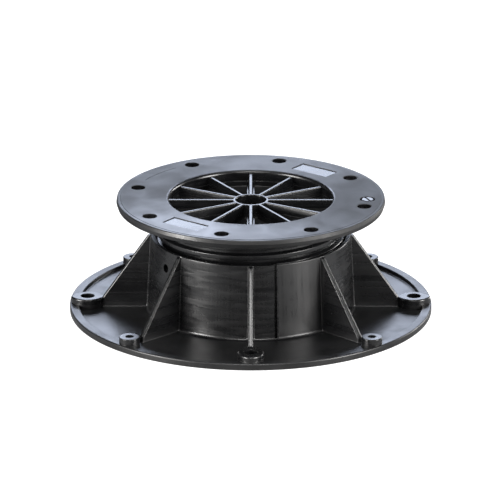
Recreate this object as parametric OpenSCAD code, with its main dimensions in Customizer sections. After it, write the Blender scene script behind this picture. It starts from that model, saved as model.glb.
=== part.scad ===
// Adjustable screw pedestal for a raised floor or a paved deck.
// Two mouldings in black polypropylene: a base with a gusseted socket,
// and a head whose threaded skirt screws up and down inside that socket.
// Origin: centre of the base's underside. +Z is up.

/* [Adjustment] */
// How far the head is screwed up from its lowest seat
raise = 16.5; // [1:0.5:28]
// Rise of the head for one full turn
pitch = 5.5; // [4.5:0.1:7]

/* [Base plate] */
// Diameter of the base
base_d = 204; // [200:1:230]
// Thickness of the base's floor
floor_t = 1.7; // [1.4:0.1:3]
// Height of the raised rim round the base
rim_h = 3.8; // [3.2:0.1:5.5]
// Width of that rim
rim_w = 5.2; // [3:0.2:7]
// Rounding of the rim's outer edge
rim_round = 0.8; // [0.2:0.1:1.2]

/* [Socket] */
// Height of the socket's mouth above the ground
socket_h = 45; // [40:1:55]
// Thickness of the socket's wall at its mouth
socket_wall = 2.8; // [2.2:0.1:3.2]
// How much the socket's wall thickens down to its foot
socket_draft = 2.2; // [0:0.1:3]
// Running gap between the thread's crest and the socket's bore
thread_clear = 0.4; // [0.3:0.05:0.8]
// Chamfer inside the socket's mouth
mouth_chamfer = 1; // [0.2:0.1:1.4]
// Fillet between the socket and the floor
foot_fillet = 1.6; // [0.4:0.1:3]
// Width of the index groove down the socket's outside
groove_w = 1.6; // [0.8:0.1:3]
// Depth of the index groove
groove_depth = 1.1; // [0.4:0.1:1.5]
// Compass angle of the index groove
groove_turn = -75.2; // [-84:0.2:-68]
// Angle taken by the raised land beside the groove
land_angle = 12; // [4:1:20]
// Height of the raised land above the mouth
land_h = 0.5; // [0.2:0.1:0.6]
// Diameter of the hole for the locking screw
lock_hole_d = 4.8; // [3:0.1:6]
// Height of the locking hole above the ground
lock_hole_h = 34.7; // [30:0.1:37]
// Compass angle of the locking hole
lock_hole_turn = 213; // [206:1:220]

/* [Gussets] */
// Thickness of a gusset along its sloping edge
gusset_t = 2.5; // [1.6:0.1:3.5]
// Extra thickness of a gusset at the floor, for draft
gusset_draft = 0.9; // [0:0.1:1.6]
// Flat land on top of a gusset beside the socket
gusset_land = 1.4; // [0.5:0.1:3]
// Drop of the gusset's top below the socket's mouth
gusset_drop = 0.5; // [0.2:0.1:3]
// Radius that the diagonal gussets reach
gusset_reach = 86.5; // [78:0.5:87]
// Height of the short upright end of a diagonal gusset
gusset_toe_h = 4.4; // [3.2:0.1:7]

/* [Pads and bosses] */
// Height of the pads and bosses above the ground
pad_h = 7.5; // [6:0.1:10]
// Length of a pad, along the base's radius
pad_len = 19; // [17:0.5:22]
// Width of a pad
pad_w = 14.8; // [12:0.2:16]
// Rounding of a pad's top edge
pad_round = 1; // [0.2:0.1:1.4]
// Diameter of the hole through a pad
pad_hole_d = 7.3; // [4:0.1:8]
// Pitch circle of the pads' holes
pad_pcd = 184; // [180:0.5:185]
// Diameter of a boss
boss_d = 11.5; // [9:0.1:12]
// Diameter of the hole through a boss
boss_hole_d = 4.3; // [3:0.1:6]
// Pitch circle of the bosses
boss_pcd = 190.4; // [188:0.2:191]

/* [Head plate] */
// Diameter of the head
head_d = 151; // [146:1:170]
// Thickness of the head's plate
plate_t = 5; // [4:0.1:8]
// Drop of the plate's bevelled border
border_drop = 0.5; // [0.1:0.1:1]
// Width of the plate's bevelled border
border_w = 2.2; // [1:0.1:3]
// Step in at the parting line, half way down the plate's edge
parting_step = 0.3; // [0.1:0.1:0.6]
// Diameter of the holes in the plate
deck_hole_d = 7.6; // [4:0.1:9]
// Pitch circle of those holes
deck_pcd = 131; // [130:0.5:132]
// Number of holes in the plate
deck_holes = 8; // [4:1:10]
// Compass angle of the first hole
deck_turn = -14.3; // [-16:0.1:-12]
// Countersink of the holes' mouths
deck_sink = 0.4; // [0.1:0.1:0.8]

/* [Plate marks] */
// Length of the two sunk label panels
panel_len = 24.6; // [16:0.2:28]
// Width of the panels
panel_w = 11.2; // [6:0.2:12]
// Depth of the panels
panel_depth = 0.4; // [0.2:0.1:1]
// Distance from the centre to the middle of a panel
panel_reach = 59.2; // [58:0.1:60]
// Compass angle of the first panel; the second is opposite
panel_turn = 52.4; // [50:0.2:55]
// Diameter of the moulder's date dial
dial_d = 8.4; // [5:0.1:9]
// Distance from the centre to the dial
dial_reach = 65.6; // [64:0.1:67]
// Compass angle of the dial
dial_turn = -3.4; // [-4:0.1:3]
// Compass angle of the dial's pointer, from the line through the centre
pointer_turn = -63; // [-90:1:90]

/* [Dish] */
// Diameter of the opening in the plate
opening_d = 92; // [88:0.2:95]
// Rounding of the opening's lip
lip_round = 1.8; // [0.4:0.1:2.4]
// Depth of the ledge round each pocket, below the plate's top
ledge_depth = 6.3; // [5:0.1:7]
// Depth of the pockets' floor, below the plate's top
pocket_depth = 9.2; // [8:0.1:12]
// Width of the ledge
ledge_w = 0.8; // [0.3:0.1:1.5]
// Thickness of the dish's floor
dish_t = 2.4; // [1.6:0.1:4]
// Number of spokes
spokes = 12; // [6:1:16]
// Thickness of a spoke
spoke_t = 1.8; // [1.2:0.1:2.6]
// Drop of the spokes and the hub below the plate's top
spoke_drop = 1.6; // [0.4:0.1:2.4]
// Outer diameter of the hub
hub_d = 20.2; // [20:0.2:26]
// Bore of the hub
hub_bore_d = 17; // [10:0.2:17.4]

/* [Skirt and thread] */
// Length of the skirt below the plate
skirt_len = 43; // [40:1:44]
// Wall of the skirt at the thread's root
skirt_wall = 3; // [2.4:0.1:4]
// Diameter at the thread's root
core_d = 101; // [100:0.2:102]
// Height of the thread
thread_h = 2.4; // [1.5:0.1:2.6]
// Width of the thread at its crest
crest_w = 2.4; // [1.5:0.1:3]
// Width of the thread at its root
root_w = 4; // [3.2:0.1:4.3]
// Clear length of skirt above and below the thread
thread_margin = 1.2; // [0.5:0.1:4]
// Turn of the thread about the axis
thread_turn = -38; // [-180:1:180]

/* [Hidden] */
$fn = 96;

black = [0.16, 0.165, 0.18];
charcoal = [0.21, 0.215, 0.235];

past = 1;                                   // overshoot of a cut beyond its face
bite = 0.4;                                 // overlap of joined forms
base_r = base_d / 2;
head_r = head_d / 2;
opening_r = opening_d / 2;
core_r = core_d / 2;
crest_r = core_r + thread_h;
bore_r = crest_r + thread_clear;
socket_top_r = bore_r + socket_wall;
socket_foot_r = socket_top_r + socket_draft;
plate_top = socket_h + raise + plate_t;
plate_under = plate_top - plate_t;
skirt_foot = plate_under - skirt_len;
skirt_in_r = core_r - skirt_wall;
gusset_top = socket_h - gusset_drop;
gusset_foot_t = gusset_t + gusset_draft;
pad_r = pad_pcd / 2;
boss_r = boss_pcd / 2;
quarter = 90;
first_gusset = -90;
between = quarter / 4;                      // from a pad half way to its next boss

// Points of a round fillet or edge: centre, radius, start and end angle
function arc(centre, r, from, to, steps = 6) =
    [for (i = [0 : steps])
        let (a = from + (to - from) * i / steps)
            [centre[0] + r * cos(a), centre[1] + r * sin(a)]];

// Radius of the socket's outside at a height
function socket_r(h) =
    socket_foot_r + (socket_top_r - socket_foot_r) * (h - floor_t) / (socket_h - floor_t);

// ---- base ----------------------------------------------------------------

// Half section of floor, rim and socket
module base_profile() {
    edge = 0.4;
    points = concat(
        [[bore_r, 0], [base_r - edge, 0], [base_r, edge]],
        arc([base_r - rim_round, rim_h - rim_round], rim_round, 0, 90),
        [[base_r - rim_w, rim_h], [base_r - rim_w - edge, floor_t]],
        arc([socket_foot_r + foot_fillet, floor_t + foot_fillet], foot_fillet, -90, -180),
        arc([socket_top_r - edge, socket_h - edge], edge, 0, 90),
        [[bore_r + mouth_chamfer, socket_h], [bore_r, socket_h - mouth_chamfer]]
    );
    polygon(points);
}

// Upright web seen from its side, from inside the socket's wall to its toe
module gusset_profile(reach, toe_h) {
    root = bore_r + socket_wall / 2;
    top_r = socket_r(gusset_top) + gusset_land;
    polygon([[root, bite], [reach, bite], [reach, toe_h],
             [top_r, gusset_top], [root, gusset_top]]);
}

// Cross-section of the web, thicker at the floor than at the top
module gusset_section() {
    polygon([[-gusset_foot_t / 2, 0], [gusset_foot_t / 2, 0],
             [gusset_t / 2, socket_h], [-gusset_t / 2, socket_h]]);
}

module gusset(turn, reach, toe_h) {
    rotate([0, 0, turn])
        intersection() {
            rotate([90, 0, 0])
                translate([0, 0, -gusset_foot_t])
                    linear_extrude(2 * gusset_foot_t)
                        gusset_profile(reach, toe_h);
            rotate([90, 0, 90])
                linear_extrude(base_r)
                    gusset_section();
        }
}

// Disc with a rounded top edge, standing on the ground
module round_disc(r, h, edge) {
    rotate_extrude()
        polygon(concat([[0, bite], [r, bite]],
                       arc([r - edge, h - edge], edge, 0, 90),
                       [[0, h]]));
}

// Lens-shaped pad: where two rounded discs overlap
module pad(turn) {
    side_r = (pow(pad_len / 2, 2) + pow(pad_w / 2, 2)) / pad_w;
    offset_y = side_r - pad_w / 2;
    rotate([0, 0, turn])
        translate([pad_r, 0, 0])
            intersection() {
                translate([0, offset_y, 0]) round_disc(side_r, pad_h, pad_round);
                translate([0, -offset_y, 0]) round_disc(side_r, pad_h, pad_round);
            }
}

module boss(turn) {
    edge = 0.4;
    rotate([0, 0, turn])
        translate([boss_r, 0, 0])
            round_disc(boss_d / 2, pad_h, edge);
}

module upright_hole(turn, r, d) {
    rotate([0, 0, turn])
        translate([r, 0, -past])
            cylinder(d = d, h = pad_h + 2 * past);
}

// Raised land on the socket's mouth, which marks the start of the thread
module mouth_land() {
    inner = bore_r + mouth_chamfer + bite / 2;
    outer = socket_top_r - 1.5 * bite;
    rotate([0, 0, groove_turn])
        rotate_extrude(angle = land_angle)
            translate([inner, socket_h - bite])
                square([outer - inner, bite + land_h]);
}

module index_groove() {
    rotate([0, 0, groove_turn])
        translate([0, -groove_w, 0])
            linear_extrude(socket_h + past)
                polygon([[socket_foot_r + past, 0], [socket_foot_r + past, groove_w],
                         [socket_top_r - groove_depth, groove_w],
                         [socket_top_r - groove_depth, 0]]);
}

module base() {
    color(black)
        difference() {
            union() {
                rotate([0, 0, between]) rotate_extrude() base_profile();
                for (k = [0 : 3]) {
                    gusset(first_gusset + k * quarter, pad_r - pad_len / 2 + bite * 2,
                           pad_h - bite);
                    gusset(first_gusset + (k + 0.5) * quarter, gusset_reach, gusset_toe_h);
                    pad(first_gusset + k * quarter);
                    boss(first_gusset + (k + 0.5) * quarter);
                }
                mouth_land();
            }
            for (k = [0 : 3]) {
                upright_hole(first_gusset + k * quarter, pad_r, pad_hole_d);
                upright_hole(first_gusset + (k + 0.5) * quarter, boss_r, boss_hole_d);
            }
            translate([0, 0, floor_t + foot_fillet / 2]) index_groove();
            rotate([0, 0, lock_hole_turn])
                translate([bore_r - past, 0, lock_hole_h])
                    rotate([0, 90, 0])
                        cylinder(d = lock_hole_d, h = socket_wall + socket_draft + 2 * past);
        }
}

// ---- head ----------------------------------------------------------------

// Half section of plate, lip, dish and skirt
module head_profile() {
    parting = plate_top - plate_t / 2;
    edge = 0.4;
    points = concat(
        [[0, plate_top - ledge_depth], [0, plate_top - pocket_depth - dish_t],
         [skirt_in_r, plate_top - pocket_depth - dish_t],
         [skirt_in_r, skirt_foot], [core_r - edge, skirt_foot], [core_r, skirt_foot + edge],
         [core_r, plate_under], [head_r - parting_step - edge, plate_under],
         [head_r - parting_step, plate_under + edge],
         [head_r - parting_step, parting], [head_r, parting],
         [head_r, plate_top - border_drop], [head_r - border_w, plate_top]],
        arc([opening_r + lip_round, plate_top - lip_round], lip_round, 90, 180),
        [[opening_r, plate_top - ledge_depth]]
    );
    polygon(points);
}

// Plan of the spokes and the hub, as wide as asked
module spider(width, hub) {
    circle(d = hub);
    for (k = [0 : spokes - 1])
        rotate(k * 360 / spokes - 90)
            translate([0, -width / 2])
                square([opening_r + bite, width]);
}

// Hollows between the spokes, below the ledge
module pockets() {
    difference() {
        circle(r = opening_r - ledge_w);
        spider(spoke_t + 2 * ledge_w, hub_d + 2 * ledge_w);
    }
}

// Right-handed helical ridge, swept round the skirt
module thread() {
    steps = 36;
    run_out = steps / 6;
    span = skirt_len - 2 * thread_margin - root_w;
    count = floor(span / pitch * steps);
    foot = skirt_foot + thread_margin + root_w / 2;
    root_r = core_r - bite;
    function lift(i) = min(1, (i + 0.2) / run_out, (count - i + 0.2) / run_out);
    function ring(i) =
        let (a = thread_turn + i * 360 / steps, h = foot + i * pitch / steps,
             tip_r = core_r + thread_h * lift(i),
             grow = root_w / 2 + bite * (root_w - crest_w) / 2 / thread_h,
             tip = root_w / 2 - lift(i) * (root_w - crest_w) / 2)
            [for (p = [[root_r, -grow], [tip_r, -tip], [tip_r, tip], [root_r, grow]])
                [p[0] * cos(a), p[0] * sin(a), h + p[1]]];
    points = [for (i = [0 : count]) each ring(i)];
    sides = [for (i = [0 : count - 1], j = [0 : 3])
        let (a = 4 * i + j, b = 4 * i + (j + 1) % 4)
            each [[a, b, a + 4], [b, b + 4, a + 4]]];
    ends = [[3, 2, 1, 0], [for (j = [0 : 3]) 4 * count + j]];
    polyhedron(points, concat(sides, ends));
}

module sunk_panel(turn) {
    rotate([0, 0, turn])
        translate([panel_reach - panel_w / 2, -panel_len / 2, plate_top - panel_depth])
            cube([panel_w, panel_len, panel_depth + past]);
}

// Round insert, marked by a ring and a pointer across it, both cut with draft
module date_dial() {
    ring_w = 0.8;
    bar_w = 1.2;
    depth = 0.5;
    draft = 0.3;
    cut = depth + past;
    rotate([0, 0, dial_turn])
        translate([dial_reach, 0, plate_top - depth]) {
            difference() {
                cylinder(d1 = dial_d - 2 * draft, d2 = dial_d + 2 * draft * past / depth, h = cut);
                translate([0, 0, -past])
                    cylinder(d = dial_d - 2 * draft - 2 * ring_w, h = cut + 2 * past);
            }
            rotate([0, 0, pointer_turn])
                translate([-dial_d / 2 + 2 * draft, -bar_w / 2, depth * 0.3])
                    cube([dial_d - 4 * draft, bar_w, depth + past]);
        }
}

module deck_hole(turn) {
    rotate([0, 0, turn])
        translate([deck_pcd / 2, 0, 0]) {
            translate([0, 0, plate_under - past])
                cylinder(d = deck_hole_d, h = plate_t + 2 * past);
            translate([0, 0, plate_top - deck_sink])
                cylinder(d1 = deck_hole_d, d2 = deck_hole_d + 4 * deck_sink,
                         h = 2 * deck_sink);
        }
}

module head() {
    ledge = plate_top - ledge_depth;
    color(charcoal)
        difference() {
            union() {
                difference() {
                    rotate([0, 0, between]) rotate_extrude() head_profile();
                    translate([0, 0, plate_top - pocket_depth])
                        linear_extrude(pocket_depth) pockets();
                }
                translate([0, 0, ledge - bite])
                    linear_extrude(ledge_depth - spoke_drop + bite)
                        spider(spoke_t, hub_d);
                thread();
            }
            translate([0, 0, skirt_foot])
                cylinder(d = hub_bore_d, h = plate_top - skirt_foot + past);
            for (k = [0 : deck_holes - 1])
                deck_hole(deck_turn + k * 360 / deck_holes);
            sunk_panel(panel_turn);
            sunk_panel(panel_turn + 180);
            date_dial();
        }
}

base();
head();
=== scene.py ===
import math
import bpy
import bmesh
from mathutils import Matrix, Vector


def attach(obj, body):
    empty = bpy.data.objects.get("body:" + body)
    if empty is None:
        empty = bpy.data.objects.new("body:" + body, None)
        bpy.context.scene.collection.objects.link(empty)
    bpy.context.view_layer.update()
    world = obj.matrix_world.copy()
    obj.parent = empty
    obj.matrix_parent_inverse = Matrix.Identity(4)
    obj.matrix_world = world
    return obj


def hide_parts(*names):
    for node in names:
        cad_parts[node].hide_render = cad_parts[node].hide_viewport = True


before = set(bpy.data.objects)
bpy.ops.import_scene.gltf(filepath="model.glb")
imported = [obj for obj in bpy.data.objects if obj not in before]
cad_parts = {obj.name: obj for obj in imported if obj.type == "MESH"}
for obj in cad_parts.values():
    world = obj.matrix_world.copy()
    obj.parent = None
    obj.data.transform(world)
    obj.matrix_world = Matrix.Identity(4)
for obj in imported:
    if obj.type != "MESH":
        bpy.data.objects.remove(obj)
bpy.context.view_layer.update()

# ---- Base: floor, rim and socket ---------------------------------------------------
# One moulding in black polypropylene. Its round floor, the raised rim and the tapered
# socket are turned from one half section; everything else on the base grows out of it.
# Sizes are in millimetres until the finished piece is brought down to metres.

MM = 0.001
SECTORS = 144                     # facets round a turned form; a gusset starts on a facet's edge
FRONT = -90.0                     # compass angle of the front gusset

FLOOR_TOP = 1.7
BASE_R = 102.0
RIM_TOP = 3.8
RIM_INNER_R = 96.8
RIM_FOOT_R = 96.4
MOUTH_CHAMFER = 1.0
BORE_R = 53.3
MOUTH_Z = 45.0
MOUTH_R = 56.1
SOCKET_FOOT_R = 58.3


def alone(piece=None):
    """Leaves only this piece selected and active, in object mode."""
    if bpy.context.object and bpy.context.object.mode != "OBJECT":
        bpy.ops.object.mode_set(mode="OBJECT")
    bpy.ops.object.select_all(action="DESELECT")
    if piece:
        piece.select_set(True)
        bpy.context.view_layer.objects.active = piece
    return piece


def pick(piece, verts=None, edges=None, faces=None):
    """Selects what the given test accepts, in edit mode, and nothing else."""
    kind = "VERT" if verts else "EDGE" if edges else "FACE"
    bpy.ops.mesh.select_mode(type=kind)
    bpy.ops.mesh.select_all(action="DESELECT")
    mesh = bmesh.from_edit_mesh(piece.data)
    parts = mesh.verts if verts else mesh.edges if edges else mesh.faces
    test = verts or edges or faces
    for part in [part for part in parts if test(part)]:
        part.select_set(True)
    mesh.select_flush_mode()
    bmesh.update_edit_mesh(piece.data)


def polar(radius, angle, z):
    turn = math.radians(angle)
    return Vector((radius * math.cos(turn), radius * math.sin(turn), z))


def wire(name, points, roundings=None, segments=5):
    """Closed wire through the given points, with the corners that ask for it rounded."""
    alone()
    bpy.ops.mesh.primitive_plane_add(size=1, location=(0, 0, 0))
    piece = alone(bpy.context.object)
    piece.name = name
    bpy.ops.object.mode_set(mode="EDIT")
    bpy.ops.mesh.select_mode(type="VERT")
    bpy.ops.mesh.select_all(action="SELECT")
    bpy.ops.mesh.merge(type="CENTER")
    bpy.ops.transform.translate(value=points[0])
    for here, there in zip(points, points[1:]):
        bpy.ops.mesh.extrude_region_move(TRANSFORM_OT_translate={"value": there - here})
    pick(piece, verts=lambda v: len(v.link_edges) == 1)
    bpy.ops.mesh.edge_face_add()
    for point, rounding in zip(points, roundings or ()):
        if rounding:
            pick(piece, verts=lambda v: (v.co - point).length < 1e-3)
            bpy.ops.mesh.bevel(offset=rounding, segments=segments, affect="VERTICES",
                               offset_type="OFFSET", clamp_overlap=False)
    return piece


def outline(name, corners, angle=0.0, segments=5):
    """Wire through (radius, height, rounding) corners, in the upright plane at an angle."""
    return wire(name, [polar(radius, angle, z) for radius, z, _ in corners],
                [rounding for _, _, rounding in corners], segments)


def turned(name, corners, steps=SECTORS, angle=FRONT, segments=5):
    """Half section swept once round the upright axis."""
    piece = outline(name, corners, angle, segments)
    bpy.ops.mesh.select_all(action="SELECT")
    bpy.ops.mesh.spin(steps=steps, angle=math.tau, center=(0, 0, 0), axis=(0, 0, 1))
    bpy.ops.mesh.select_all(action="SELECT")
    bpy.ops.mesh.remove_doubles(threshold=1e-3)
    bpy.ops.mesh.select_all(action="SELECT")
    bpy.ops.mesh.normals_make_consistent(inside=False)
    bpy.ops.object.mode_set(mode="OBJECT")
    return piece


def place(piece, x=0.0, y=0.0, z=0.0, turn=0.0):
    """Moves a piece in its own plane, then turns it about the main axis, and fixes it there."""
    alone(piece)
    angle = math.radians(turn)
    piece.location = (x * math.cos(angle) - y * math.sin(angle),
                      x * math.sin(angle) + y * math.cos(angle), z)
    piece.rotation_euler = (0, 0, angle)
    bpy.ops.object.transform_apply(location=True, rotation=True, scale=True)
    return piece


def copied(piece, **where):
    alone(piece)
    bpy.ops.object.duplicate(linked=False)
    return place(bpy.context.object, **where)


def carve(piece, tool, operation="DIFFERENCE"):
    """Applies one boolean and throws the tool away."""
    alone(piece)
    step = piece.modifiers.new(operation.lower(), "BOOLEAN")
    step.operation, step.solver, step.object = operation, "EXACT", tool
    bpy.ops.object.modifier_apply(modifier=step.name)
    bpy.data.objects.remove(tool)
    return piece


base = turned("base_moulding", [
    (BORE_R, 0.0, 0.0), (BASE_R, 0.0, 0.4), (BASE_R, RIM_TOP, 0.9),
    (RIM_INNER_R, RIM_TOP, 0.45), (RIM_FOOT_R, FLOOR_TOP, 0.5),
    (SOCKET_FOOT_R, FLOOR_TOP, 1.7), (MOUTH_R, MOUTH_Z, 0.5),
    (BORE_R + MOUTH_CHAMFER, MOUTH_Z, 0.15), (BORE_R, MOUTH_Z - MOUTH_CHAMFER, 0.2)])

# The land that marks the thread's start is a short raised stretch of the mouth.
LAND_TURNS = (-75.0, -62.5)
LAND_H = 0.5
alone(base)
bpy.ops.object.mode_set(mode="EDIT")


def on_land(face):
    middle = face.calc_center_median()
    angle = math.degrees(math.atan2(middle.y, middle.x))
    return (face.normal.z > 0.99 and middle.z > MOUTH_Z - 0.02
            and LAND_TURNS[0] < angle < LAND_TURNS[1])


pick(base, faces=on_land)
bpy.ops.mesh.extrude_region_move(TRANSFORM_OT_translate={"value": (0, 0, LAND_H)})
bpy.ops.object.mode_set(mode="OBJECT")

# ---- Base: gussets -----------------------------------------------------------------
# Eight upright webs hold the socket up. They are thinner at the top than at the floor,
# so that they leave the mould, and their free edges are rounded.
# The front, back and side ones end in the long pads, the diagonal ones stand free.

GUSSET_TOP_T = 2.5
GUSSET_FOOT_T = 3.4
GUSSET_TOP = 44.3
GUSSET_FOOT = 0.6
GUSSET_ROOT_R = 54.9
GUSSET_LAND_R = 57.6
GUSSET_EDGE = 1.05
SHORT_WEB_R, SHORT_TOE_TOP = 86.5, 4.6
PAD_R, PAD_TOP = 92.0, 7.5


def gusset_web(name, reach, toe_top):
    """One web, drawn from its side, given its thickness, drafted and rounded."""
    web = outline(name, [(GUSSET_ROOT_R, GUSSET_FOOT, 0), (reach, GUSSET_FOOT, 0),
                         (reach, toe_top, 0), (GUSSET_LAND_R, GUSSET_TOP, 0),
                         (GUSSET_ROOT_R, GUSSET_TOP, 0)])
    bpy.ops.mesh.select_all(action="SELECT")
    bpy.ops.mesh.edge_face_add()
    bpy.ops.transform.translate(value=(0, -0.5, 0))
    bpy.ops.mesh.extrude_region_move(TRANSFORM_OT_translate={"value": (0, 1, 0)})
    for z in (GUSSET_FOOT, toe_top, GUSSET_TOP):
        thickness = GUSSET_FOOT_T + (GUSSET_TOP_T - GUSSET_FOOT_T) * z / MOUTH_Z
        pick(web, verts=lambda v: abs(v.co.z - z) < 1e-3)
        bpy.ops.transform.resize(value=(1, thickness, 1), center_override=(0, 0, 0))
    bpy.ops.mesh.select_all(action="SELECT")
    bpy.ops.mesh.normals_make_consistent(inside=False)
    pick(web, edges=lambda e: min(v.co.z for v in e.verts) > GUSSET_FOOT + 1
         and min(v.co.x for v in e.verts) > GUSSET_ROOT_R + 1
         or all(v.co.x > reach - 1e-2 for v in e.verts) and max(v.co.z for v in e.verts) > 1)
    bpy.ops.mesh.bevel(offset=GUSSET_EDGE, segments=4, affect="EDGES", clamp_overlap=False)
    bpy.ops.object.mode_set(mode="OBJECT")
    return web


long_web = gusset_web("long_web", PAD_R - 8.4, PAD_TOP - 0.6)
short_web = gusset_web("short_web", SHORT_WEB_R, SHORT_TOE_TOP)
for quarter in range(4):
    carve(base, copied(long_web, turn=FRONT + 90 * quarter), "UNION")
    carve(base, copied(short_web, turn=FRONT + 45 + 90 * quarter), "UNION")
for web in (long_web, short_web):
    bpy.data.objects.remove(web)


def fillet(piece, radius, test, segments=3):
    """Rounds the sharp inner corners between joined forms, where the test allows it."""
    alone(piece)
    bpy.ops.object.mode_set(mode="EDIT")
    pick(piece, edges=lambda e: e.is_manifold and test(e)
         and e.calc_face_angle_signed() < -math.radians(40))
    bpy.ops.mesh.bevel(offset=radius, segments=segments, affect="EDGES", clamp_overlap=False,
                       miter_outer="SHARP", miter_inner="SHARP")
    bpy.ops.object.mode_set(mode="OBJECT")


WEB_FILLET = 0.6
fillet(base, WEB_FILLET, lambda e: all(1 < v.co.z < GUSSET_TOP + 0.1 for v in e.verts))

# ---- Base: pads, bosses and their holes --------------------------------------------
# Four eye-shaped pads stand on the rim at the ends of the long gussets, and four small
# round bosses between them. All eight take a screw down through the floor.

PAD_LENGTH, PAD_WIDTH, PAD_EDGE = 19.0, 14.8, 1.0
PAD_HOLE_R = 3.65
BOSS_R, BOSS_EDGE = 5.75, 0.5
BOSS_CIRCLE_R = 95.2
BOSS_HOLE_R = 2.15
BLANK_FOOT = 0.5                  # pads and bosses start inside the floor


def arc(x, y, radius, start, end, steps, z):
    """Points along an arc in plan."""
    turns = [math.radians(start + (end - start) * i / steps) for i in range(steps + 1)]
    return [Vector((x + radius * math.cos(turn), y + radius * math.sin(turn), z))
            for turn in turns]


def block(name, points, height, edge, segments=4):
    """Upright block on a plan outline, with its top edge rounded."""
    piece = wire(name, points)
    low = points[0].z
    bpy.ops.mesh.select_all(action="SELECT")
    bpy.ops.mesh.edge_face_add()
    bpy.ops.mesh.extrude_region_move(TRANSFORM_OT_translate={"value": (0, 0, height)})
    bpy.ops.mesh.select_all(action="SELECT")
    bpy.ops.mesh.normals_make_consistent(inside=False)
    if edge:
        pick(piece, edges=lambda e: min(v.co.z for v in e.verts) > low + height - 1e-3)
        bpy.ops.mesh.bevel(offset=edge, segments=segments, affect="EDGES",
                           clamp_overlap=False)
    bpy.ops.object.mode_set(mode="OBJECT")
    return piece


side_r = ((PAD_LENGTH / 2) ** 2 + (PAD_WIDTH / 2) ** 2) / PAD_WIDTH
aside = side_r - PAD_WIDTH / 2
half_turn = math.degrees(math.asin(PAD_LENGTH / 2 / side_r)) - 4
pad = block("pad", arc(0, -aside, side_r, 90 - half_turn, 90 + half_turn, 14, BLANK_FOOT)
            + arc(0, aside, side_r, 270 - half_turn, 270 + half_turn, 14, BLANK_FOOT),
            PAD_TOP - BLANK_FOOT, PAD_EDGE)
boss = block("boss", arc(0, 0, BOSS_R, 2.2, 354.7, 47, BLANK_FOOT),
             PAD_TOP - BLANK_FOOT, BOSS_EDGE, 3)
for quarter in range(4):
    carve(base, copied(pad, x=PAD_R, turn=FRONT + 90 * quarter), "UNION")
    carve(base, copied(boss, x=BOSS_CIRCLE_R, turn=FRONT + 45 + 90 * quarter), "UNION")
for blank in (pad, boss):
    bpy.data.objects.remove(blank)


def drill(name, radius, low, high, flare):
    """Cutter for an upright hole, flared at its upper mouth."""
    return turned(name, [(0, low - 2, 0), (radius, low - 2, 0), (radius, high - flare, 0),
                         (radius + flare + 1, high + 1, 0), (0, high + 1, 0)], 48, 2.2)


pad_drill = drill("pad_drill", PAD_HOLE_R, 0, PAD_TOP, 0.35)
boss_drill = drill("boss_drill", BOSS_HOLE_R, 0, PAD_TOP, 0.3)
for quarter in range(4):
    carve(base, copied(pad_drill, x=PAD_R, turn=FRONT + 90 * quarter))
    carve(base, copied(boss_drill, x=BOSS_CIRCLE_R, turn=FRONT + 45 + 90 * quarter))
for cutter in (pad_drill, boss_drill):
    bpy.data.objects.remove(cutter)

# ---- Base: index groove and locking hole -------------------------------------------
# A narrow groove runs down the socket beside the front gusset, to read the height by.
# Round at the back left, one hole through the wall takes the screw that locks the head.

GROOVE_TURN = -75.2
GROOVE_W = 1.6
GROOVE_FLOOR_R = 55.0
LOCK_TURN, LOCK_Z, LOCK_R = 213.0, 34.7, 2.4

alone()
bpy.ops.mesh.primitive_cube_add(size=1, location=(0, 0, 0))
groove = alone(bpy.context.object)
groove.scale = (6, GROOVE_W, MOUTH_Z)
bpy.ops.object.transform_apply(location=False, rotation=False, scale=True)
place(groove, x=GROOVE_FLOOR_R + 3, y=-GROOVE_W / 2, z=2.5 + MOUTH_Z / 2, turn=GROOVE_TURN)
carve(base, groove)

alone()
bpy.ops.mesh.primitive_cylinder_add(vertices=40, radius=LOCK_R, depth=10,
                                    rotation=(0, math.pi / 2, 0))
lock_hole = alone(bpy.context.object)
bpy.ops.object.transform_apply(location=True, rotation=True, scale=True)
place(lock_hole, x=BORE_R + 3, z=LOCK_Z, turn=LOCK_TURN)
carve(base, lock_hole)


def finished(piece, body, node, material):
    """Shades a moulding, brings it down to metres and puts it on its body in its node's place."""
    alone(piece)
    bpy.ops.object.mode_set(mode="EDIT")
    bpy.ops.mesh.select_all(action="SELECT")
    bpy.ops.mesh.remove_doubles(threshold=2e-3)
    bpy.ops.object.mode_set(mode="OBJECT")
    piece.scale = (MM, MM, MM)
    bpy.ops.object.transform_apply(location=True, rotation=True, scale=True)
    bpy.ops.object.shade_smooth_by_angle(angle=math.radians(32))
    even = piece.modifiers.new("even", "WEIGHTED_NORMAL")
    even.keep_sharp = True
    bpy.ops.object.modifier_apply(modifier=even.name)
    piece.data.materials.clear()
    piece.data.materials.append(material)
    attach(piece, body)
    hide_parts(node)


# ---- Head: plate, lip, dish and skirt ----------------------------------------------
# The second moulding, in the same plastic. The flat plate with its bevelled border, the
# rounded lip, the dished middle and the long skirt are turned from one half section.

PLATE_TOP = 66.5
PLATE_UNDER = 61.5
PLATE_R = 75.5
PARTING_Z = 64.0
OPENING_R = 46.0
LEDGE_Z = 60.2
DISH_UNDER = 54.9
SKIRT_IN_R, CORE_R = 47.5, 50.5
SKIRT_FOOT = 18.5
HUB_BORE_R, HUB_R = 8.5, 10.1
BORDER_TOP = PLATE_TOP - 0.15
LIP_ROUND = 1.8

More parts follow.
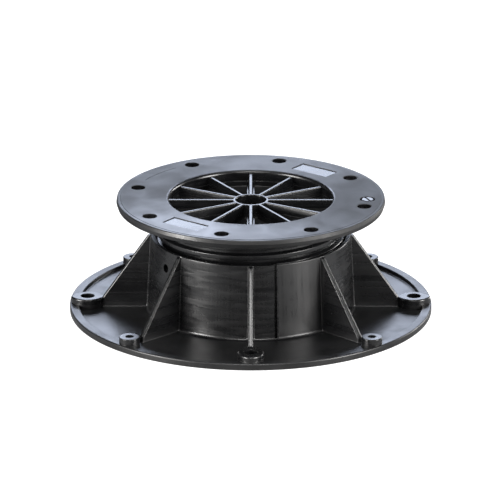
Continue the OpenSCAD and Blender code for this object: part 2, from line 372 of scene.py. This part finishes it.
head = turned("head_moulding", [
    (HUB_BORE_R - 2, DISH_UNDER, 0), (SKIRT_IN_R, DISH_UNDER, 0.8), (SKIRT_IN_R, SKIRT_FOOT, 0.3),
    (CORE_R, SKIRT_FOOT, 0.4), (CORE_R, PLATE_UNDER, 0.6), (PLATE_R - 0.8, PLATE_UNDER, 0.5),
    (PLATE_R - 0.3, PARTING_Z, 0), (PLATE_R, PARTING_Z, 0.1),
    (PLATE_R - 0.35, BORDER_TOP, 0.5), (PLATE_R - 2.1, BORDER_TOP, 0),
    (PLATE_R - 2.3, PLATE_TOP, 0), (OPENING_R, PLATE_TOP, LIP_ROUND),
    (OPENING_R, LEDGE_Z, 0.3), (HUB_BORE_R - 2, LEDGE_Z, 0)])

# ---- Head: pockets, spokes and hub -------------------------------------------------
# The dish is lightened by twelve pockets, each with a narrow ledge left round it. Twelve
# thin spokes stand on the ledges and tie a round hub to the wall of the opening.

SPOKES = 12
SPOKE_T = 1.7
SPOKE_FOOT_T = 3.2
SPOKE_TOP = 64.9
POCKET_Z = 57.3
LEDGE_W = 0.8
SPOKE_ROOT_Z = 59.6
SPOKE_EDGE = 0.42


def bar(name, width, foot, low, high, edge, half_length):
    """Bar right across the dish, wider at its foot, with its long top edges rounded."""
    piece = wire(name, [Vector((-half_length, -foot / 2, low)),
                        Vector((-half_length, -width / 2, high)),
                        Vector((-half_length, width / 2, high)),
                        Vector((-half_length, foot / 2, low))], (0, edge, edge, 0))
    bpy.ops.mesh.select_all(action="SELECT")
    bpy.ops.mesh.edge_face_add()
    bpy.ops.mesh.extrude_region_move(
        TRANSFORM_OT_translate={"value": (2 * half_length, 0, 0)})
    bpy.ops.mesh.select_all(action="SELECT")
    bpy.ops.mesh.normals_make_consistent(inside=False)
    bpy.ops.object.mode_set(mode="OBJECT")
    return piece


pocket_in, pocket_out = HUB_R + LEDGE_W, OPENING_R - LEDGE_W
pocket = turned("pockets", [(pocket_in, POCKET_Z, 0.6), (pocket_out, POCKET_Z, 0.6),
                            (pocket_out, LEDGE_Z + 1, 0), (pocket_in, LEDGE_Z + 1, 0)],
                SECTORS, FRONT + 1.25, 3)
gap_w = SPOKE_FOOT_T + LEDGE_W
gap = bar("gap", gap_w, gap_w, POCKET_Z - 2, LEDGE_Z + 3, 0, OPENING_R + 4)
spoke = bar("spoke", SPOKE_T, SPOKE_FOOT_T, SPOKE_ROOT_Z, SPOKE_TOP, SPOKE_EDGE, OPENING_R + 0.5)
for pair in range(SPOKES // 2):
    carve(pocket, copied(gap, turn=360 / SPOKES * pair + FRONT))
carve(head, pocket)
hub = turned("hub", [(HUB_BORE_R - 1, SPOKE_ROOT_Z, 0), (HUB_R, SPOKE_ROOT_Z, 0),
                     (HUB_R, SPOKE_TOP, 0.45), (HUB_BORE_R - 1, SPOKE_TOP, 0)],
             72, FRONT + 2.5, 3)
for pair in range(SPOKES // 2):
    carve(head, copied(spoke, turn=360 / SPOKES * pair + FRONT), "UNION")
carve(head, hub, "UNION")
carve(head, turned("hub_bore", [(0, DISH_UNDER - 2, 0), (HUB_BORE_R + 0.5, DISH_UNDER - 0.5, 0),
                                (HUB_BORE_R, DISH_UNDER + 0.3, 0),
                                (HUB_BORE_R, SPOKE_TOP - 0.35, 0.2),
                                (HUB_BORE_R + 1, SPOKE_TOP + 0.65, 0), (0, SPOKE_TOP + 2, 0)],
                   72, FRONT + 1.1, 2))
for blank in (gap, spoke):
    bpy.data.objects.remove(blank)

# ---- Head: screw thread ------------------------------------------------------------
# A right-handed ridge runs round the skirt and rises 5.5 mm a turn. It is a trapezium
# with rounded crests, and it runs out to nothing at both of its ends.

PITCH = 5.5
THREAD_R = 52.9
THREAD_FOOT = 21.7
THREAD_START = -38.0
THREAD_STEPS = 72
THREAD_TURNS = 239 / 36
ROOT_HALF, CREST_HALF = 2.15, 1.2

thread = outline("thread", [(CORE_R - 0.4, -ROOT_HALF - 0.15, 0), (THREAD_R, -CREST_HALF, 0.35),
                            (THREAD_R, CREST_HALF, 0.35), (CORE_R - 0.4, ROOT_HALF + 0.15, 0)],
                 THREAD_START, 2)
bpy.ops.mesh.select_all(action="SELECT")
bpy.ops.transform.translate(value=(0, 0, THREAD_FOOT))
bpy.ops.object.mode_set(mode="OBJECT")
sweep = thread.modifiers.new("sweep", "SCREW")
sweep.angle = math.tau * THREAD_TURNS
sweep.screw_offset = PITCH * THREAD_TURNS
sweep.steps = sweep.render_steps = round(THREAD_STEPS * THREAD_TURNS)
bpy.ops.object.modifier_apply(modifier=sweep.name)
alone(thread)
bpy.ops.object.mode_set(mode="EDIT")
pick(thread, edges=lambda e: e.is_boundary)
bpy.ops.mesh.fill_holes(sides=0)
bpy.ops.mesh.select_all(action="SELECT")
bpy.ops.mesh.normals_make_consistent(inside=False)


def turns_in(vert):
    """How far along the thread a point lies, in turns from its foot."""
    part = (math.degrees(math.atan2(vert.co.y, vert.co.x)) - THREAD_START) / 360
    return part + round((vert.co.z - THREAD_FOOT) / PITCH - part)


for step in range(THREAD_STEPS // 6):
    lift = (step + 0.6) / (THREAD_STEPS / 6)
    squeeze = (CORE_R + 0.1 + (THREAD_R - CORE_R) * lift) / THREAD_R
    for end in (step / THREAD_STEPS, THREAD_TURNS - step / THREAD_STEPS):
        pick(thread, verts=lambda v: abs(turns_in(v) - end) < 0.3 / THREAD_STEPS
             and v.co.xy.length > CORE_R)
        bpy.ops.transform.resize(value=(squeeze, squeeze, 1), center_override=(0, 0, 0))
bpy.ops.object.mode_set(mode="OBJECT")
carve(head, thread, "UNION")

# ---- Head: screw holes and marks in the plate --------------------------------------
# Eight holes with a small countersink pass through the plate. Two smooth sunk panels,
# a round date dial and one fine scribed arc are left by inserts in the mould.

DECK_CIRCLE_R = 65.5
DECK_HOLE_R = 3.8
DECK_TURN = -14.3
DECK_HOLES = 8
deck_drill = drill("deck_drill", DECK_HOLE_R, PLATE_UNDER, PLATE_TOP, 0.45)
for hole in range(DECK_HOLES):
    carve(head, copied(deck_drill, x=DECK_CIRCLE_R, turn=DECK_TURN + 360 / DECK_HOLES * hole))
bpy.data.objects.remove(deck_drill)

PANEL_W, PANEL_LENGTH = 11.2, 24.6
PANEL_R = 59.2
PANEL_DEPTH = 0.4
PANEL_TURN = 52.4
for turn in (PANEL_TURN, PANEL_TURN + 180):
    sunk = block("sunk", [Vector((x * PANEL_W / 2, y * PANEL_LENGTH / 2,
                                  PLATE_TOP - PANEL_DEPTH))
                          for x, y in ((-1, -1), (1, -1), (1, 1), (-1, 1))], 2, 0)
    carve(head, place(sunk, x=PANEL_R, turn=turn))

DIAL_R, DIAL_W, DIAL_DEPTH = 4.3, 0.9, 1.2
DIAL_CIRCLE_R, DIAL_TURN, POINTER_TURN = 65.6, -3.4, -63.0
ring = turned("dial_ring", [(DIAL_R - 0.3 - DIAL_W, PLATE_TOP - DIAL_DEPTH, 0),
                            (DIAL_R - 0.1, PLATE_TOP - DIAL_DEPTH, 0),
                            (DIAL_R + 0.1, PLATE_TOP + 1, 0),
                            (DIAL_R - 0.3 - DIAL_W, PLATE_TOP + 1, 0)], 36, 3.0)
pointer = bar("pointer", 1.2, 1.2, PLATE_TOP - 0.5, PLATE_TOP + 1, 0, DIAL_R - 0.6)
place(pointer, turn=POINTER_TURN)
for mark in (ring, pointer):
    carve(head, place(mark, x=DIAL_CIRCLE_R, turn=DIAL_TURN))

SCRIBE_R, SCRIBE_W, SCRIBE_DEPTH = 66.4, 0.35, 0.25
scribe = block("scribe", arc(0, 0, SCRIBE_R, 130, 154, 12, PLATE_TOP - SCRIBE_DEPTH)
               + arc(0, 0, SCRIBE_R - SCRIBE_W, 154, 130, 12, PLATE_TOP - SCRIBE_DEPTH), 1, 0)
carve(head, scribe)

# ---- Finish: black polypropylene ---------------------------------------------------
# Both mouldings are satin black plastic from polished tools. The melt leaves faint flow
# lines round the walls and cloudy patches on the flats, seen only in how they shine.


class Shade:
    """A number in a material's nodes; sums and products of these add Math nodes."""

    def __init__(self, finish, socket):
        self.finish, self.socket = finish, socket

    def __add__(self, other):
        return self.finish.math("ADD", self, other)

    def __mul__(self, other):
        return self.finish.math("MULTIPLY", self, other)

    def __sub__(self, other):
        return self.finish.math("SUBTRACT", self, other)

    def __rsub__(self, other):
        return self.finish.math("SUBTRACT", other, self)

    __radd__, __rmul__ = __add__, __mul__

    def ramp(self, low, high):
        """From 0 at low to 1 at high, eased at both ends."""
        return self.finish.node("ShaderNodeMapRange", {"interpolation_type": "SMOOTHSTEP"},
                                {"Value": self, "From Min": low, "From Max": high})


class Finish:
    """A material, and the one method that adds any node to it."""

    def __init__(self, name):
        self.material = bpy.data.materials.new(name)
        self.material.use_nodes = True
        self.nodes = self.material.node_tree.nodes
        self.links = self.material.node_tree.links
        self.shader = self.nodes["Principled BSDF"]

    def set(self, node, inputs):
        for key, value in inputs.items():
            if isinstance(value, Shade):
                self.links.new(value.socket, node.inputs[key])
            else:
                node.inputs[key].default_value = value

    def node(self, kind, settings, inputs, output=0):
        made = self.nodes.new(kind)
        for key, value in settings.items():
            setattr(made, key, value)
        self.set(made, inputs)
        return Shade(self, made.outputs[output])

    def math(self, operation, *values):
        return self.node("ShaderNodeMath", {"operation": operation}, dict(enumerate(values)))


def moulded_plastic(name, dark, light, gloss, grained):
    """Satin black plastic: cloudy flats, flow lines round the walls, a fine even grain.

    gloss is the roughness of the polished parts. grained is given the finish and the
    coordinates, and says how far each place is grained instead, and how rough it is there.
    """
    finish = Finish(name)
    spot = finish.node("ShaderNodeTexCoord", {}, {}, "Object")
    x, y, z = (finish.node("ShaderNodeSeparateXYZ", {}, {0: spot}, axis) for axis in range(3))
    around = finish.math("ARCTAN2", y, x) * 0.056
    unrolled = finish.node("ShaderNodeCombineXYZ", {}, {0: around, 1: z})

    def noise(place, scale, detail, twist=0.0):
        return finish.node("ShaderNodeTexNoise", {}, {"Vector": place, "Scale": scale, "Detail":
                                                      detail, "Distortion": twist}) - 0.5

    def stretched(wide, high):
        return finish.node("ShaderNodeMapping", {}, {0: unrolled, "Scale": (wide, high, 1)})

    flow = noise(stretched(45, 300), 1.0, 1.0, 0.6)
    drawn = noise(stretched(1500, 18), 1.0, 2.0)
    clouds = noise(spot, 60.0, 5.0, 0.4)
    grain = noise(spot, 2600.0, 2.0)
    normal = finish.node("ShaderNodeNewGeometry", {}, {}, "Normal")
    upright = finish.node("ShaderNodeSeparateXYZ", {}, {0: normal}, 2)
    wall = 1.0 - finish.math("ABSOLUTE", upright).ramp(0.1, 0.5)
    grained, rough = grained(finish, x, y, z)
    smooth = 1.0 - grained
    colour = finish.node("ShaderNodeMix", {"data_type": "RGBA"},
                         {"Factor": clouds.ramp(-0.2, 0.2), 6: (*dark, 1), 7: (*light, 1)}, 2)
    shine = (gloss + grained * (rough - gloss) + clouds * (0.18 + grained * 0.14)
             + wall * (smooth * flow * 0.32 + drawn * (0.12 + grained * 0.25)))
    relief = (wall * (smooth * flow * 0.9 + drawn * 0.05) + clouds * 0.08
              + grain * (0.012 + grained * 0.05))
    bump = finish.node("ShaderNodeBump", {}, {"Strength": 0.35, "Distance": 0.0004,
                                              "Height": relief})
    finish.set(finish.shader, {"Base Color": colour, "Roughness": shine, "Normal": bump,
                               "IOR": 1.6})
    return finish.material


def base_grain(finish, x, y, z):
    """The floor is duller, and so is the wall from the groove to the next gusset.

    That stretch of wall comes from an insert of its own in the mould.
    """
    turn = finish.math("ARCTAN2", y, x) * math.degrees(1)
    stretch = turn.ramp(GROOVE_TURN + 0.6, GROOVE_TURN + 0.9) - turn.ramp(-46.0, -45.0)
    radius = finish.math("SQRT", x * x + y * y)
    insert = stretch * radius.ramp(0.0552, 0.0556) * (1.0 - radius.ramp(0.0592, 0.0598))
    floor_part = radius.ramp(0.0600, 0.0606) * (1.0 - z.ramp(0.0040, 0.0046))
    return insert + floor_part, 0.38


def head_grain(finish, x, y, z):
    """The plate's flat, its rim and the pockets are grained, and all else is polished.

    The flat is duller at its sides, where the melt's streams meet.
    """
    radius = finish.math("SQRT", x * x + y * y)
    dial = polar(DIAL_CIRCLE_R * MM, DIAL_TURN, 0)
    away_x, away_y = x - dial.x, y - dial.y
    from_dial = finish.math("SQRT", away_x * away_x + away_y * away_y)
    east, north = (finish.math("DIVIDE", way, radius) for way in (x, y))
    rough = (0.43 + east * east * 0.16 - east * north * 0.08 + east * 0.03 + north * 0.025
             - (0.0 - east - north).ramp(1.0, 1.4) * 0.07)
    top = z.ramp(0.0662, 0.0664)
    flat = (radius.ramp(0.0466, 0.0478) * top
            * from_dial.ramp((DIAL_R - 0.4) * MM, DIAL_R * MM))
    rim = radius.ramp(0.0744, 0.0748) * (1.0 - top)
    pocket = (1.0 - radius.ramp(0.0448, 0.0454)) * (1.0 - z.ramp(0.0596, 0.0600))
    return flat + rim + pocket, rough


finished(base, "base", "base",
         moulded_plastic("base_polypropylene", (0.0030, 0.0031, 0.0035),
                         (0.0050, 0.0052, 0.0058), 0.28, base_grain))
finished(head, "head", "head",
         moulded_plastic("head_polypropylene", (0.0032, 0.0033, 0.0037),
                         (0.0054, 0.0056, 0.0062), 0.26, head_grain))

# ---- Camera ------------------------------------------------------------------------
# A long lens from a little above, level with the front gusset.

DISTANCE = 4.08
ELEVATION = math.radians(19.19)
YAW = math.radians(-0.09)
alone()
bpy.ops.object.camera_add(location=(0, -DISTANCE * math.cos(ELEVATION),
                                    DISTANCE * math.sin(ELEVATION) + 0.0408))
camera = bpy.context.object
sight = Vector((math.sin(YAW) * math.cos(ELEVATION), math.cos(YAW) * math.cos(ELEVATION),
                -math.sin(ELEVATION)))
camera.rotation_euler = sight.to_track_quat("-Z", "Y").to_euler()
camera.data.sensor_width = 36
camera.data.lens = 543.9
camera.data.clip_start, camera.data.clip_end = 0.1, 100
bpy.context.scene.camera = camera

# ---- Floor and light ---------------------------------------------------------------
# A pale floor, seen as white by the camera, with three black cards that only the piece reflects:
# painted shade in its reflections. Cool banks stand behind and above, and warmer boxes at the
# front and sides.

alone()
bpy.ops.mesh.primitive_plane_add(size=40, location=(0, 0, -0.0002))
floor = bpy.context.object
floor.name = "studio_floor"
paper = Finish("paper")
seen = paper.node("ShaderNodeLightPath", {}, {}, "Is Camera Ray")
lit = paper.node("ShaderNodeBsdfDiffuse", {}, {"Color": (0.40, 0.40, 0.40, 1)})
white = paper.node("ShaderNodeEmission", {}, {"Color": (1, 1, 1, 1), "Strength": 0.93})
shown = paper.node("ShaderNodeAddShader", {}, {0: lit, 1: white})
mixed = paper.node("ShaderNodeMixShader", {}, {0: seen, 1: lit, 2: shown})
paper.set(paper.nodes["Material Output"], {"Surface": mixed})
floor.data.materials.append(paper.material)

# Painted shade: near-black sheets on the floor, unseen by the camera and casting no shadow, that
# darken what the piece reflects in front of it and behind its sides.
painted_shade_sheet = Finish("painted_shade_sheet")
painted_shade_sheet.set(painted_shade_sheet.shader, {"Base Color": (0.01, 0.01, 0.01, 1), "Roughness": 1.0})
for x, y, width, depth in ((0, -0.33, 0.17, 0.42), (-0.155, 0.135, 0.19, 0.21),
                           (0.155, 0.135, 0.19, 0.21)):
    alone()
    bpy.ops.mesh.primitive_plane_add(size=1, location=(x, y, -0.0001))
    card = bpy.context.object
    card.name = "painted_shade_card"
    card.scale = (width, depth, 1)
    card.visible_camera = card.visible_shadow = False
    card.data.materials.append(painted_shade_sheet.material)

LIGHT_DISTANCE = 1.3


def light_bank(name, azimuth, elevation, size, power, colour):
    """Rectangular soft light aimed at the piece, not itself seen by the camera."""
    alone()
    turn, lift = math.radians(azimuth), math.radians(elevation)
    away = Vector((math.cos(turn) * math.cos(lift), math.sin(turn) * math.cos(lift),
                   math.sin(lift)))
    bpy.ops.object.light_add(type="AREA", location=away * LIGHT_DISTANCE)
    bank = bpy.context.object
    bank.name = name
    bank.rotation_euler = away.to_track_quat("Z", "Y").to_euler()
    bank.data.shape = "RECTANGLE"
    bank.data.size, bank.data.size_y = size
    bank.data.energy, bank.data.color = power, colour
    bank.visible_camera = False


COOL, PALE, NEUTRAL, WARM = ((0.74, 0.82, 1.0), (0.90, 0.95, 1.0), (1.0, 0.99, 0.98),
                             (1.0, 0.98, 0.96))
BOX, LOW_BOX = (0.5, 0.5), (0.5, 0.27)
for name, azimuth, elevation, size, power, colour in (
        ("back_low", 90, 17, (1.2, 0.24), 2.3, COOL),
        ("back_bank", 90, 28, (1.2, 0.26), 7.8, COOL),
        ("top_bank", 90, 80, (0.9, 0.6), 3.0, PALE),
        ("front_top", -90, 50, (0.7, 0.25), 7.4, NEUTRAL),
        ("front_low", -90, 3.5, (0.9, 0.12), 1.2, (1.0, 0.97, 0.95)),
        ("left_box", -150, 24, BOX, 10.0, NEUTRAL),
        ("left_low", -150, 6.5, LOW_BOX, 15.0, WARM),
        ("right_box", -30, 24, BOX, 14.0, NEUTRAL),
        ("right_low", -30, 6.5, LOW_BOX, 8.0, WARM),
        ("rim_low", 35, 6.5, LOW_BOX, 8.0, NEUTRAL)):
    light_bank(name, azimuth, elevation, size, power, colour)

world = bpy.data.worlds.new("studio")
bpy.context.scene.world = world
world.use_nodes = True
world.node_tree.nodes["Background"].inputs["Color"].default_value = (1, 1, 1, 1)
world.node_tree.nodes["Background"].inputs["Strength"].default_value = 0.05

bpy.context.scene.view_settings.view_transform = "Standard"
